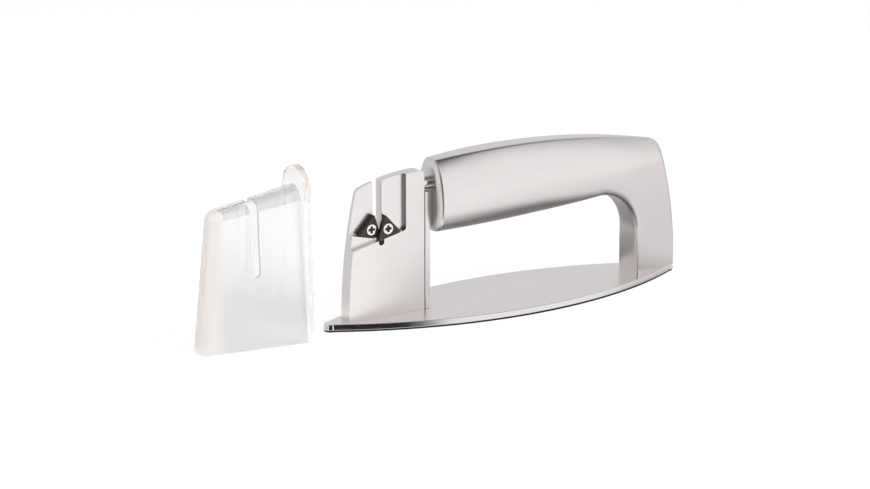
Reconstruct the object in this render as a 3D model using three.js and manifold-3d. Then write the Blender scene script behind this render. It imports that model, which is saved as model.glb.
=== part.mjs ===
// Pull-through knife sharpener with an arched handle, and its guard cover standing beside it.
// Millimetres, +X along the base towards the handle's leg, +Z up, origin under the middle of the base.
import * as THREE from 'three';
import { mergeVertices } from 'three/addons/utils/BufferGeometryUtils.js';
import { LoftGeometry } from 'three/addons/geometries/LoftGeometry.js';
import Module from 'manifold-3d';

const wasm = await Module();
wasm.setup();

// Base: a lens with rounded tips, steel on a rubber sheet
const baseLength = 199.6;
const baseWidth = 56.8;
const tipRadius = 3.6;
const baseThickness = 2.6;
const padThickness = 1.0;
const padInset = 0.6;

// Sharpening plate
const plateInset = 11.4;
const plateWidth = 40.4;
const plateThickness = 7.6;
const plateHeight = 66.8;
const plateSideRadius = 256;
const plateTopRadius = 90;
const plateLeftCorner = 2;
const plateRightCorner = 2.5;

// Knife slot, and the two steps cut for the inserts
const slotFromLeft = 17.3;
const slotWidth = 2.9;
const slotDepth = 32.5;
const frontStep = 2.3;
const stepBeyondInsert = 3.0;
const stepCorner = 1.6;
const insertSpacing = 0.2;

// Carbide inserts: equal-sided triangles whose edges cross in the slot as a V
const insertSide = 12.3;
const insertThickness = 2.2;
const insertCorner = 0.35;
const shimThickness = 0.9;
const veeHalfAngle = 17;
const veeFromTop = 25.2;
const seatGap = 0.3;

// Screws
const insertScrew = { shank: 3.0, head: 5.5, headHeight: 1.3, reach: 7.0 };
const baseScrew = { shank: 4.0, head: 7.4, headHeight: 1.9, reach: 12.0 };
const crossWidth = 0.9;
const crossLength = 3.0;
const crossDepth = 1.0;
const nutAcross = 5.5;
const nutThickness = 1.8;
const screwEnd = 0.4;
const holeGap = 0.2;
const plateScrewInset = 8.4;
const legScrewInset = 7.5;
const legScrewSpacing = 11.5;

// Post, bush and stud between the plate and the handle
const handleGap = 4.2;
const postThickness = 2.6;
const postFromPlate = 0.4;
const tenonShoulder = 0.5;
const tenonWidth = 5.0;
const studFromTop = 6.9;
const studDiameter = 4.0;
const studGrip = 8.0;
const bushDiameter = 6.2;

// Handle: an arch with an egg-shaped section, ending in a leg
const capThickness = 2.0;
const capRim = 1.5;
const gripTop = 73.4;
const gripTopRadius = 430;
const crestFromLeft = 48;
const gripHeight = 34.5;
const gripUnderRadius = 860;
const legThickness = 28.2;
const legBackRadius = 188;
const legTopCorner = 6;
const innerFillet = 20;
const legLean = 0.8;
const legInset = 0.1;
const legOverlap = 0.5;
const legTip = 3.5;
const legTipSweep = 75;
const bellyHeight = 0.36;
// Along the handle, from its left end at 0 to the end of the base at 1
const widthStations = [0, 0.38, 0.7, 0.81, 1];
const halfWidths = [11.3, 10.9, 9.3, 8.0, 3.4];
const crestStations = [0, 0.16, 0.4, 0.68, 0.9, 1];
const crestHalfWidths = [4.2, 5.3, 5.0, 3.5, 0.7, 0.5];
const underStations = [0, 0.4, 0.68, 1];
const underSquareness = [2.8, 2.8, 12, 12];

// Guard cover, shaped round the plate and then stood to the left of it
const coverWall = 1.5;
const coverLeftFromSlot = 27.0;
const coverLeftLean = 7.4;
const coverLeftHalfFoot = 5.8;
const coverLeftHalfTop = 5.6;
const coverRightHalfFoot = 11.9;
const coverRightHalfTop = 7.4;
const coverLeftCrest = 65.4;
const coverRightCrest = 71.9;
const coverCornerDrop = 4.8;
const coverTabHalfFoot = 12.2;
const coverTabHalfTop = 10.4;
const coverTabHeight = 80.0;
const coverSlotWidth = 4.2;
const coverSlotBottom = 33.0;
const coverSlotRight = 0.6;
const coverClearance = 0.4;
const coverNotchClearance = 0.8;
const coverStandsLeft = 66.5;
const coverStandsBack = 1.0;

// Facets
const arcSteps = 12;
const cornerSteps = 3;
const screwSides = 24;
const sectionSteps = 10;
const gripSteps = 20;
const legSteps = 12;
const rimSteps = 4;
const coverSteps = 6;

// Places worked out from the sizes
const baseTop = padThickness + baseThickness;
const plateLeft = -baseLength / 2 + plateInset;
const plateRight = plateLeft + plateWidth;
const plateFront = -plateThickness / 2;
const plateBack = plateThickness / 2;
const plateTop = baseTop + plateHeight;
const slotX = plateLeft + slotFromLeft;
const slotFloor = plateTop - slotDepth;
const frontSeat = plateFront + frontStep;
const leftInsertFront = frontSeat + insertSpacing;
const rearSeat = leftInsertFront + insertThickness + shimThickness;
const veeHeight = plateTop - veeFromTop;
const inscribed = insertSide / (2 * Math.sqrt(3));
const insertOffset = inscribed / Math.cos(THREE.MathUtils.degToRad(veeHalfAngle));
const rightInsertX = slotX + insertOffset;
const leftInsertX = slotX - insertOffset;
const insertTip = insertSide / Math.sqrt(3) - insertCorner;
const stepWall = rightInsertX + insertTip * Math.cos(THREE.MathUtils.degToRad(veeHalfAngle)) + stepBeyondInsert;
const capFace = plateRight + handleGap;
const handleLeft = capFace + capThickness;
const handleRight = baseLength / 2 - legInset;
const handleLength = handleRight - handleLeft;
const legLeft = handleRight - legThickness;
const crestX = capFace + crestFromLeft;
const gripCrest = baseTop + gripTop;
const gripUnder = gripCrest - gripTopDrop(handleLeft) - gripHeight;
const filletStart = legLeft - innerFillet;
const studZ = plateTop - studFromTop;
const legScrewX = handleRight - legScrewInset;

function gripTopDrop(x) {
  return gripTopRadius - Math.sqrt(gripTopRadius ** 2 - (x - crestX) ** 2);
}

function gripTopAt(x) {
  return gripCrest - gripTopDrop(x);
}

function gripUnderAt(x) {
  return gripUnder + gripUnderRadius - Math.sqrt(gripUnderRadius ** 2 - (x - handleLeft) ** 2);
}

// A three.js geometry as a solid that can be cut and joined
function solid(geometry) {
  const bare = new THREE.BufferGeometry();
  bare.setAttribute('position', geometry.attributes.position);
  bare.setIndex(geometry.index);
  const merged = mergeVertices(bare, 1e-4);
  const vertProperties = new Float32Array(merged.attributes.position.array);
  const triVerts = new Uint32Array(merged.index.array);
  return new wasm.Manifold(new wasm.Mesh({ numProp: 3, vertProperties, triVerts }));
}

// A finished solid as a named mesh
function piece(name, shape, material) {
  const { vertProperties, triVerts } = shape.getMesh();
  const geometry = new THREE.BufferGeometry();
  geometry.setAttribute('position', new THREE.BufferAttribute(vertProperties, 3));
  geometry.setIndex(new THREE.BufferAttribute(triVerts, 1));
  geometry.computeVertexNormals();
  const mesh = new THREE.Mesh(geometry, material);
  mesh.name = name;
  return mesh;
}

// An outline in X and Z, as thick as the distance from front to back
function upright(shape, front, back, curveSegments = arcSteps) {
  const options = { depth: back - front, bevelEnabled: false, curveSegments };
  const geometry = new THREE.ExtrudeGeometry(shape, options);
  return solid(geometry.rotateX(Math.PI / 2).translate(0, back, 0));
}

// An outline in X and Y, from the bottom up to the top
function flat(shape, bottom, top) {
  const options = { depth: top - bottom, bevelEnabled: false, curveSegments: arcSteps };
  return solid(new THREE.ExtrudeGeometry(shape, options).translate(0, 0, bottom));
}

function block(left, right, front, back, bottom, top) {
  const geometry = new THREE.BoxGeometry(right - left, back - front, top - bottom);
  return solid(geometry.translate((left + right) / 2, (front + back) / 2, (bottom + top) / 2));
}

// A round bar along X
function barAlongX(radius, left, right, z) {
  const geometry = new THREE.CylinderGeometry(radius, radius, right - left, screwSides);
  return solid(geometry.rotateZ(Math.PI / 2).translate((left + right) / 2, 0, z));
}

// A round bar along Y
function barAlongY(radius, x, z, front, back) {
  const geometry = new THREE.CylinderGeometry(radius, radius, back - front, screwSides);
  return solid(geometry.translate(x, (front + back) / 2, z));
}

// Half the width of a lens whose arcs run from the middle to where the round tips begin
function lens(length, width, tip) {
  const reach = length / 2 - tip;
  const rise = width / 2 - tip;
  const radius = (reach ** 2 + rise ** 2) / (2 * rise);
  return { reach, radius, tip, centre: radius - width / 2, sweep: Math.asin(reach / radius) };
}

function lensShape(length, width, tip) {
  const { reach, radius, centre, sweep } = lens(length, width, tip);
  const up = Math.PI / 2;
  const shape = new THREE.Shape();
  shape.absarc(0, -centre, radius, up - sweep, up + sweep);
  shape.absarc(-reach, 0, tip, up, 3 * up);
  shape.absarc(0, centre, radius, 3 * up - sweep, 3 * up + sweep);
  shape.absarc(reach, 0, tip, -up, up);
  return shape;
}

// Countersunk screw along +Z, its head's top at zero and its shank below, with a cross recess
function countersunkScrew({ shank, head, headHeight, reach }) {
  const profile = [
    new THREE.Vector2(0, -reach),
    new THREE.Vector2(shank / 2 - screwEnd, -reach),
    new THREE.Vector2(shank / 2, -reach + screwEnd),
    new THREE.Vector2(shank / 2, -headHeight),
    new THREE.Vector2(head / 2, 0),
    new THREE.Vector2(0, 0),
  ];
  const body = solid(new THREE.LatheGeometry(profile, screwSides).rotateX(Math.PI / 2));
  const long = crossLength / 2;
  const thin = crossWidth / 2;
  const cross = block(-long, long, -thin, thin, -crossDepth, 1).add(block(-thin, thin, -long, long, -crossDepth, 1));
  return body.subtract(cross);
}

// What a countersunk screw needs cut away for it, with the clearance all round
function screwHole({ shank, head, headHeight, reach }) {
  const profile = [
    new THREE.Vector2(0, -reach - screwEnd),
    new THREE.Vector2(shank / 2 + holeGap, -reach - screwEnd),
    new THREE.Vector2(shank / 2 + holeGap, -headHeight - holeGap),
    new THREE.Vector2(head / 2 + holeGap, 0),
    new THREE.Vector2(head / 2 + holeGap, 1),
    new THREE.Vector2(0, 1),
  ];
  return solid(new THREE.LatheGeometry(profile, screwSides).rotateX(Math.PI / 2));
}

// Screws and their holes are turned to face the front, or upside down under the base
function facingFront(shape, x, front, z) {
  return shape.rotate([90, 0, 0]).translate([x, front, z]);
}

function fromBelow(shape, x) {
  return shape.rotate([180, 0, 0]).translate([x, 0, padThickness]);
}

// Triangle with rounded corners, one corner pointing along the given angle
function triangle(x, z, angle) {
  const centres = insertSide / Math.sqrt(3) - 2 * insertCorner;
  const shape = new THREE.Shape();
  for (const turn of [0, 120, 240]) {
    const at = THREE.MathUtils.degToRad(angle + turn);
    const half = Math.PI / 3;
    shape.absarc(x + centres * Math.cos(at), z + centres * Math.sin(at), insertCorner, at - half, at + half);
  }
  return shape;
}

const plateScrewXs = [plateLeft + plateScrewInset, plateRight - plateScrewInset];
const legScrewXs = [legScrewX - legScrewSpacing, legScrewX];

function makeBasePlate() {
  let shape = flat(lensShape(baseLength, baseWidth, tipRadius), padThickness, baseTop);
  for (const x of [...plateScrewXs, ...legScrewXs]) {
    shape = shape.subtract(fromBelow(screwHole(baseScrew), x));
  }
  const { left, right, half } = postTenon();
  return shape.subtract(block(left - holeGap, right + holeGap, -half - holeGap, half + holeGap, 0, baseTop + 1));
}

function makePad() {
  const outline = lensShape(baseLength - 2 * padInset, baseWidth - 2 * padInset, tipRadius - padInset);
  return flat(outline, 0, padThickness);
}

// Sharpening plate: the left side and the top are arcs, and the top corners are round
function plateShape() {
  const sideAt = (z) => plateLeft + plateSideRadius - Math.sqrt(plateSideRadius ** 2 - (z - baseTop) ** 2);
  const topAt = (x) => plateTop - plateTopRadius + Math.sqrt(plateTopRadius ** 2 - (x - plateRight) ** 2);
  let cornerX = plateLeft;
  for (let i = 0; i < arcSteps; i += 1) {
    cornerX = sideAt(topAt(cornerX));
  }
  const cornerZ = topAt(cornerX);
  const sideEnd = cornerZ - plateLeftCorner;
  const topEnd = cornerX + plateLeftCorner;
  const shape = new THREE.Shape();
  shape.moveTo(plateLeft, baseTop);
  shape.lineTo(plateRight, baseTop);
  shape.lineTo(plateRight, plateTop - plateRightCorner);
  shape.quadraticCurveTo(plateRight, plateTop, plateRight - plateRightCorner, topAt(plateRight - plateRightCorner));
  const from = Math.PI / 2 + Math.asin(plateRightCorner / plateTopRadius);
  const to = Math.PI / 2 + Math.asin((plateRight - topEnd) / plateTopRadius);
  shape.absarc(plateRight, plateTop - plateTopRadius, plateTopRadius, from, to);
  shape.quadraticCurveTo(cornerX, cornerZ, sideAt(sideEnd), sideEnd);
  const low = Math.PI - Math.asin((sideEnd - baseTop) / plateSideRadius);
  shape.absarc(plateLeft + plateSideRadius, baseTop, plateSideRadius, low, Math.PI);
  return shape;
}

// A slot with a round bottom, open at the top
function slotShape(x, width, floor, top) {
  const half = width / 2;
  const shape = new THREE.Shape();
  shape.moveTo(x + half, top);
  shape.lineTo(x - half, top);
  shape.absarc(x, floor + half, half, Math.PI, 2 * Math.PI);
  return shape;
}

// The line that an insert's lower edge rests on: its height at x, on the side where the insert is
function ledgeAt(x, insertX, side) {
  const slope = THREE.MathUtils.degToRad(90 - veeHalfAngle - 60);
  const below = (inscribed + seatGap) / Math.cos(slope);
  return veeHeight - below + side * (x - insertX) * Math.tan(slope);
}

function makeSharpeningPlate() {
  const far = plateLeft - plateInset;
  const above = plateTop + plateInset;
  const front = new THREE.Shape();
  front.moveTo(far, ledgeAt(far, rightInsertX, 1));
  front.lineTo(stepWall - stepCorner, ledgeAt(stepWall - stepCorner, rightInsertX, 1));
  const cornerZ = ledgeAt(stepWall, rightInsertX, 1);
  front.quadraticCurveTo(stepWall, cornerZ, stepWall, cornerZ + stepCorner);
  front.lineTo(stepWall, above);
  front.lineTo(far, above);
  const rear = new THREE.Shape();
  rear.moveTo(far, ledgeAt(far, leftInsertX, -1));
  rear.lineTo(slotX, ledgeAt(slotX, leftInsertX, -1));
  rear.lineTo(slotX, above);
  rear.lineTo(far, above);
  let shape = upright(plateShape(), plateFront, plateBack);
  shape = shape.subtract(upright(slotShape(slotX, slotWidth, slotFloor, above), plateFront - 1, plateBack + 1));
  shape = shape.subtract(upright(front, plateFront - 1, frontSeat));
  shape = shape.subtract(upright(rear, plateFront - 1, rearSeat));
  const bore = insertScrew.shank / 2 + holeGap;
  for (const x of [leftInsertX, rightInsertX]) {
    shape = shape.subtract(barAlongY(bore, x, veeHeight, plateFront, plateBack + 1));
  }
  for (const x of plateScrewXs) {
    shape = shape.subtract(fromBelow(screwHole(baseScrew), x));
  }
  return shape.subtract(barAlongX(studDiameter / 2 + holeGap, plateRight - studGrip - holeGap, plateRight + 1, studZ));
}

// An insert or shim, with its hole
function makeTriangle(x, angle, front, thickness, hole) {
  return upright(triangle(x, veeHeight, angle), front, front + thickness, cornerSteps).subtract(hole);
}

const rightInsertFront = frontSeat - insertThickness;
const rightHole = facingFront(screwHole(insertScrew), rightInsertX, rightInsertFront, veeHeight);
const leftScrew = { ...insertScrew, reach: plateBack + nutThickness - leftInsertFront };
const leftHole = facingFront(screwHole(leftScrew), leftInsertX, leftInsertFront, veeHeight);

function makeNut() {
  const corner = nutAcross / Math.sqrt(3);
  const hexagon = new THREE.CylinderGeometry(corner, corner, nutThickness, 6);
  const nut = solid(hexagon.translate(leftInsertX, plateBack + nutThickness / 2, veeHeight));
  return nut.subtract(leftHole);
}

// The post's tenon sits in a slot in the base
function postTenon() {
  const left = plateRight + postFromPlate + tenonShoulder;
  return { left, right: left + postThickness - 2 * tenonShoulder, half: tenonWidth / 2 };
}

function makePost() {
  const left = plateRight + postFromPlate;
  const top = studZ - bushDiameter / 2 - seatGap;
  const bar = block(left, left + postThickness, plateFront, plateBack, baseTop, top);
  const tenon = postTenon();
  return bar.add(block(tenon.left, tenon.right, -tenon.half, tenon.half, padThickness + seatGap, baseTop + seatGap));
}

function makeBush() {
  const tube = barAlongX(bushDiameter / 2, plateRight, capFace, studZ);
  return tube.subtract(barAlongX(studDiameter / 2 + holeGap, plateRight - 1, capFace + 1, studZ));
}

function makeStud() {
  return barAlongX(studDiameter / 2, plateRight - studGrip, handleLeft + studGrip, studZ);
}

function studBore() {
  return barAlongX(studDiameter / 2 + holeGap, capFace - 1, handleLeft + studGrip + holeGap, studZ);
}

// How far the bowed back of the leg has come in at a height
function leanAt(z) {
  const height = Math.max(z - baseTop, 0);
  return legBackRadius - Math.sqrt(legBackRadius ** 2 - height ** 2);
}

const widthAt = new THREE.CubicInterpolant(widthStations, halfWidths, 1);
const crestAt = new THREE.CubicInterpolant(crestStations, crestHalfWidths, 1);
const squarenessAt = new THREE.LinearInterpolant(underStations, underSquareness, 1);

// Half the width at a place along the handle: its end is round, as the tip of the base is
function halfWidthAt(x) {
  const along = THREE.MathUtils.clamp((x - handleLeft) / handleLength, 0, 1);
  const intoTip = Math.max(x - handleRight + legTip, 0);
  const limit = Math.sqrt(legTip ** 2 - Math.min(intoTip, legTip) ** 2);
  return intoTip > 0 ? Math.min(widthAt.evaluate(along)[0], limit) : widthAt.evaluate(along)[0];
}

// Section of the handle, counter-clockwise seen from +X. The sections of the leg lean with its back.
function section(x, leg, inward = 0) {
  const along = THREE.MathUtils.clamp((x - handleLeft) / handleLength, 0, 1);
  const leaning = leg ? (x - filletStart) / (handleRight - filletStart) : 0;
  const top = gripTopAt(x - leaning * leanAt(gripTopAt(x)));
  const half = halfWidthAt(x);
  const crest = Math.acos(Math.min(crestAt.evaluate(along)[0] / half, 0.9));
  const power = 2 / squarenessAt.evaluate(along)[0];
  const under = gripUnderAt(x);
  const belly = under + bellyHeight * (top - under);
  const wide = half - inward;
  const rise = (top - belly - inward) / Math.sin(crest);
  const drop = belly - under - inward;
  const right = [];
  for (let i = 0; i <= sectionSteps; i += 1) {
    const t = (crest * i) / sectionSteps;
    right.push([wide * Math.cos(t), belly + rise * Math.sin(t)]);
  }
  for (let i = 1; i < sectionSteps; i += 1) {
    const t = (Math.PI / 2) * (i / sectionSteps);
    const rounded = [wide * Math.cos(t) ** power, belly - drop * Math.sin(t) ** power];
    right.unshift(leg ? [wide, belly * (1 - i / (sectionSteps - 1))] : rounded);
  }
  const left = right.map(([y, z]) => [-y, z]).reverse();
  return [...right, ...left].map(([y, z]) => new THREE.Vector3(x - leaning * leanAt(z), y, z));
}

// Places of the sections: even along the straight, then closer round the tip
function makeGrip(to) {
  const sections = [];
  for (let i = 0; i <= gripSteps; i += 1) {
    sections.push(section(THREE.MathUtils.lerp(handleLeft, to, i / gripSteps), false));
  }
  return solid(new LoftGeometry(sections, { capStart: true, capEnd: true }));
}

function makeLeg(from) {
  const sections = [];
  const tipStart = handleRight - legTip;
  for (let i = 0; i < legSteps; i += 1) {
    sections.push(section(THREE.MathUtils.lerp(from, tipStart, i / legSteps), true));
  }
  for (let i = 0; i <= rimSteps; i += 1) {
    const t = legTipSweep * (i / rimSteps);
    sections.push(section(tipStart + legTip * Math.sin(THREE.MathUtils.degToRad(t)), true));
  }
  return solid(new LoftGeometry(sections, { capStart: true, capEnd: true }));
}

// Side view of the leg: the inner fillet, the foot and the round top corner, with room behind its back
function legShape(left) {
  const filletTop = gripUnderAt(filletStart);
  let cornerX = handleRight;
  for (let i = 0; i < arcSteps; i += 1) {
    cornerX = handleRight - leanAt(gripTopAt(cornerX));
  }
  const cornerZ = gripTopAt(cornerX);
  const topEnd = cornerX - legTopCorner;
  const backEnd = cornerZ - legTopCorner;
  const above = gripCrest + legTopCorner;
  const behind = handleRight + legTopCorner;
  const from = Math.acos((left - filletStart) / innerFillet);
  const shape = new THREE.Shape();
  shape.absarc(filletStart, filletTop - innerFillet, innerFillet, from, 0, true);
  shape.lineTo(legLeft + legLean, baseTop);
  shape.lineTo(behind, baseTop);
  shape.lineTo(behind, backEnd);
  shape.lineTo(handleRight - leanAt(backEnd), backEnd);
  shape.quadraticCurveTo(cornerX, cornerZ, topEnd, gripTopAt(topEnd));
  shape.lineTo(topEnd, above);
  shape.lineTo(left, above);
  return shape;
}

// The grip and the leg overlap a little, just inside the fillet
function makeHandle() {
  const legStart = filletStart + legOverlap;
  const side = upright(legShape((filletStart + legStart) / 2), -baseWidth / 2, baseWidth / 2);
  let shape = makeGrip(legStart + legOverlap).add(makeLeg(legStart).intersect(side));
  for (const x of legScrewXs) {
    shape = shape.subtract(fromBelow(screwHole(baseScrew), x));
  }
  return shape.subtract(studBore());
}

// End cap: the first section of the grip with its outer rim rounded
function makeEndCap() {
  const rings = [];
  for (let i = 0; i <= rimSteps; i += 1) {
    const t = (Math.PI / 2) * (1 - i / rimSteps);
    const ring = section(handleLeft, false, capRim * (1 - Math.cos(t)));
    rings.push(ring.map((p) => p.setX(capFace + capRim * (1 - Math.sin(t)))));
  }
  rings.push(section(handleLeft, false));
  return solid(new LoftGeometry(rings, { capStart: true, capEnd: true })).subtract(studBore());
}

// The cover's sections run from its round left edge to the tab: a wall, an arch and a wall,
// seen from the right. The left edge leans, so the sections lean with it and come upright at the tab.
function coverSection(along, round, right, inward) {
  const lerp = THREE.MathUtils.lerp;
  const foot = (lerp(coverLeftHalfFoot, coverRightHalfFoot, along) - inward) * Math.sin(round);
  const top = (lerp(coverLeftHalfTop, coverRightHalfTop, along) - inward) * Math.sin(round);
  const start = inward + (coverLeftHalfFoot - inward) * (1 - Math.cos(round));
  const u = lerp(start - coverLeftFromSlot, right, along);
  const lean = (coverLeftLean * (1 - along)) / coverLeftCrest;
  const crest = lerp(coverLeftCrest, coverRightCrest, along) - coverCornerDrop * (1 - Math.sin(round)) - inward;
  const low = inward > 0 ? -coverCornerDrop : 0;
  const spread = foot + ((foot - top) * -low) / (crest - top);
  const side = [[spread, low]];
  for (let i = 0; i <= sectionSteps; i += 1) {
    const t = (Math.PI / 2) * (i / sectionSteps);
    side.push([top * Math.cos(t), crest - top + top * Math.sin(t)]);
  }
  const mirrored = side.slice(0, -1).map(([v, z]) => [-v, z]).reverse();
  return [...side, ...mirrored].map(([v, z]) => new THREE.Vector3(u + lean * z, v, z));
}

// The cover's outer form, and its inside when it is drawn in by the wall
function coverForm(inward, right) {
  const sections = [];
  for (let i = 1; i <= sectionSteps; i += 1) {
    sections.push(coverSection(0, (Math.PI / 2) * (i / sectionSteps), right, inward));
  }
  for (let i = 1; i <= coverSteps; i += 1) {
    sections.push(coverSection(i / coverSteps, Math.PI / 2, right, inward));
  }
  return solid(new LoftGeometry(sections, { capStart: true, capEnd: true }));
}

function makeCover() {
  const tabLeft = plateRight - slotX + coverClearance;
  const tabRight = capFace - slotX - coverClearance;
  const tab = new THREE.Shape();
  tab.moveTo(-coverTabHalfFoot, 0);
  tab.lineTo(coverTabHalfFoot, 0);
  tab.absarc(0, coverTabHeight - coverTabHalfTop, coverTabHalfTop, 0, Math.PI);
  const tabOptions = { depth: tabRight - tabLeft, bevelEnabled: false, curveSegments: arcSteps };
  const turn = new THREE.Matrix4().set(0, 0, 1, tabLeft, 1, 0, 0, 0, 0, 1, 0, 0, 0, 0, 0, 1);
  const flange = solid(new THREE.ExtrudeGeometry(tab, tabOptions).applyMatrix4(turn));
  const outer = coverForm(0, tabLeft + coverClearance);
  const inner = coverForm(coverWall, tabLeft);
  const opening = slotShape(coverSlotRight, coverSlotWidth, coverSlotBottom, coverTabHeight);
  const slot = upright(opening, -2 * coverTabHalfFoot, 2 * coverTabHalfFoot);
  const notchTop = studZ + bushDiameter / 2 - baseTop + coverNotchClearance;
  const notchHalf = plateBack + coverNotchClearance;
  const notch = block(tabLeft - 1, tabRight + 1, -notchHalf, notchHalf, -1, notchTop);
  return outer.add(flange).subtract(inner).subtract(slot).subtract(notch);
}

const brushedSteel = new THREE.MeshStandardMaterial({ color: 0xc9c6c4, roughness: 0.38, metalness: 1 });
const polishedSteel = new THREE.MeshStandardMaterial({ color: 0xdedede, roughness: 0.14, metalness: 1 });
const blackRubber = new THREE.MeshStandardMaterial({ color: 0x161616, roughness: 0.9, metalness: 0 });
const carbide = new THREE.MeshStandardMaterial({ color: 0x3a3a3c, roughness: 0.45, metalness: 0.6 });
const nickel = new THREE.MeshStandardMaterial({ color: 0xe2ded6, roughness: 0.2, metalness: 1 });
const frostedPlastic = new THREE.MeshStandardMaterial({
  color: 0xefece8,
  roughness: 0.3,
  metalness: 0,
  transparent: true,
  opacity: 0.55,
});

const sharpener = new THREE.Group();
sharpener.add(piece('base_plate', makeBasePlate(), brushedSteel));
sharpener.add(piece('non_slip_pad', makePad(), blackRubber));
sharpener.add(piece('sharpening_plate', makeSharpeningPlate(), brushedSteel));

const rightAngle = -veeHalfAngle;
const leftAngle = 180 + veeHalfAngle;
const rightInsert = makeTriangle(rightInsertX, rightAngle, rightInsertFront, insertThickness, rightHole);
const leftInsert = makeTriangle(leftInsertX, leftAngle, leftInsertFront, insertThickness, leftHole);
const shim = makeTriangle(leftInsertX, leftAngle, leftInsertFront + insertThickness, shimThickness, leftHole);
sharpener.add(piece('right_insert', rightInsert, carbide));
sharpener.add(piece('left_insert', leftInsert, carbide));
sharpener.add(piece('left_insert_shim', shim, carbide));

const rightScrew = facingFront(countersunkScrew(insertScrew), rightInsertX, rightInsertFront, veeHeight);
const longScrew = facingFront(countersunkScrew(leftScrew), leftInsertX, leftInsertFront, veeHeight);
sharpener.add(piece('right_insert_screw', rightScrew, nickel));
sharpener.add(piece('left_insert_screw', longScrew, nickel));
sharpener.add(piece('left_insert_nut', makeNut(), nickel));

sharpener.add(piece('handle_post', makePost(), polishedSteel));
sharpener.add(piece('handle_bush', makeBush(), polishedSteel));
sharpener.add(piece('handle_stud', makeStud(), polishedSteel));
sharpener.add(piece('handle_end_cap', makeEndCap(), polishedSteel));
sharpener.add(piece('handle_body', makeHandle(), brushedSteel));

const baseScrews = [...plateScrewXs, ...legScrewXs];
const baseScrewNames = ['plate_screw_left', 'plate_screw_right', 'leg_screw_left', 'leg_screw_right'];
baseScrewNames.forEach((name, i) => {
  sharpener.add(piece(name, fromBelow(countersunkScrew(baseScrew), baseScrews[i]), nickel));
});

const cover = piece('guard_cover', makeCover(), frostedPlastic);
cover.position.set(slotX - coverStandsLeft, coverStandsBack, 0);
sharpener.add(cover);

export default sharpener;
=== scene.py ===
import math

import bpy
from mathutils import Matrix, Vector


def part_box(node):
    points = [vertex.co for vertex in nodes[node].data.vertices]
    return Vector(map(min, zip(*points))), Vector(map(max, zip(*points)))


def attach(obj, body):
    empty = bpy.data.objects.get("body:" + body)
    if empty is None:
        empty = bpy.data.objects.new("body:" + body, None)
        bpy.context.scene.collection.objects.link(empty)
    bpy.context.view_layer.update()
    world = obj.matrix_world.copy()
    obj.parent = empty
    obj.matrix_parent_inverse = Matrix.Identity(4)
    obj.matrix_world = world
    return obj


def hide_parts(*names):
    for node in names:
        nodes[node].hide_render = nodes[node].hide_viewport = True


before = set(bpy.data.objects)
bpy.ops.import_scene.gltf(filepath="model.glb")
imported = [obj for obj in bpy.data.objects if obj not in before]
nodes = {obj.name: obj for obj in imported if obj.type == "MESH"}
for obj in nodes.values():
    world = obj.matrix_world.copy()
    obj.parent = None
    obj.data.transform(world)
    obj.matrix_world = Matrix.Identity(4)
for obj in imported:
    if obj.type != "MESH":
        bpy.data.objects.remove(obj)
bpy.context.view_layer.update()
scene = bpy.context.scene
scene.view_settings.view_transform = "Standard"
mm = 0.001
print("frame loaded:", len(nodes), "nodes")


# Working with pieces

joining = {"weld": 0.002, "seam": 0.0005, "flatWithin": 0.4, "smoothBelow": 40}


def dropAll():
    if bpy.context.object and bpy.context.object.mode != "OBJECT":
        bpy.ops.object.mode_set(mode="OBJECT")
    bpy.ops.object.select_all(action="DESELECT")


def takeUp(piece):
    dropAll()
    piece.select_set(True)
    bpy.context.view_layer.objects.active = piece


# Selects the faces of the piece that pass a test, and stays in edit mode
def pickFaces(piece, test):
    bpy.ops.object.mode_set(mode="EDIT")
    bpy.ops.mesh.select_mode(type="FACE")
    bpy.ops.mesh.select_all(action="DESELECT")
    bpy.ops.object.mode_set(mode="OBJECT")
    for face in piece.data.polygons:
        face.select = test(face)
    bpy.ops.object.mode_set(mode="EDIT")


# A copy of a CAD solid with its loose triangles joined into whole faces
def joinedCopy(node, name):
    dropAll()
    piece = nodes[node].copy()
    piece.data = nodes[node].data.copy()
    piece.name = name
    piece.parent = None
    for key in list(piece.keys()):
        del piece[key]
    scene.collection.objects.link(piece)
    takeUp(piece)
    piece.data.materials.clear()
    bpy.ops.mesh.customdata_custom_splitnormals_clear()
    bpy.ops.object.mode_set(mode="EDIT")
    bpy.ops.mesh.select_all(action="SELECT")
    bpy.ops.mesh.remove_doubles(threshold=joining["weld"] * mm)
    bpy.ops.mesh.dissolve_limited(angle_limit=math.radians(joining["flatWithin"]))
    bpy.ops.object.mode_set(mode="OBJECT")
    return piece


# Breaks the sharp edges with a small round, and keeps the flats flat in the light
def breakEdges(piece, width, segments=2, sharperThan=32):
    takeUp(piece)
    if width:
        bevel = piece.modifiers.new("edge", "BEVEL")
        bevel.width = width * mm
        bevel.segments = segments
        bevel.limit_method = "ANGLE"
        bevel.angle_limit = math.radians(sharperThan)
        bevel.use_clamp_overlap = True
        bpy.ops.object.modifier_apply(modifier=bevel.name)
    bpy.ops.object.shade_smooth_by_angle(angle=math.radians(joining["smoothBelow"]))
    even = piece.modifiers.new("even", "WEIGHTED_NORMAL")
    even.keep_sharp = True
    bpy.ops.object.modifier_apply(modifier=even.name)


def putOn(piece, node, body, slot, finish):
    piece.data.materials.clear()
    piece.data.materials.append(finish)
    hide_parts(node)
    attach(piece, body)
    print("made", piece.name, len(piece.data.polygons), "faces")


# Gives the faces that pass a test a finish of their own
def coat(piece, finish, test):
    takeUp(piece)
    piece.data.materials.append(finish)
    pickFaces(piece, test)
    piece.active_material_index = len(piece.data.materials) - 1
    bpy.ops.object.material_slot_assign()
    bpy.ops.object.mode_set(mode="OBJECT")


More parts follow.
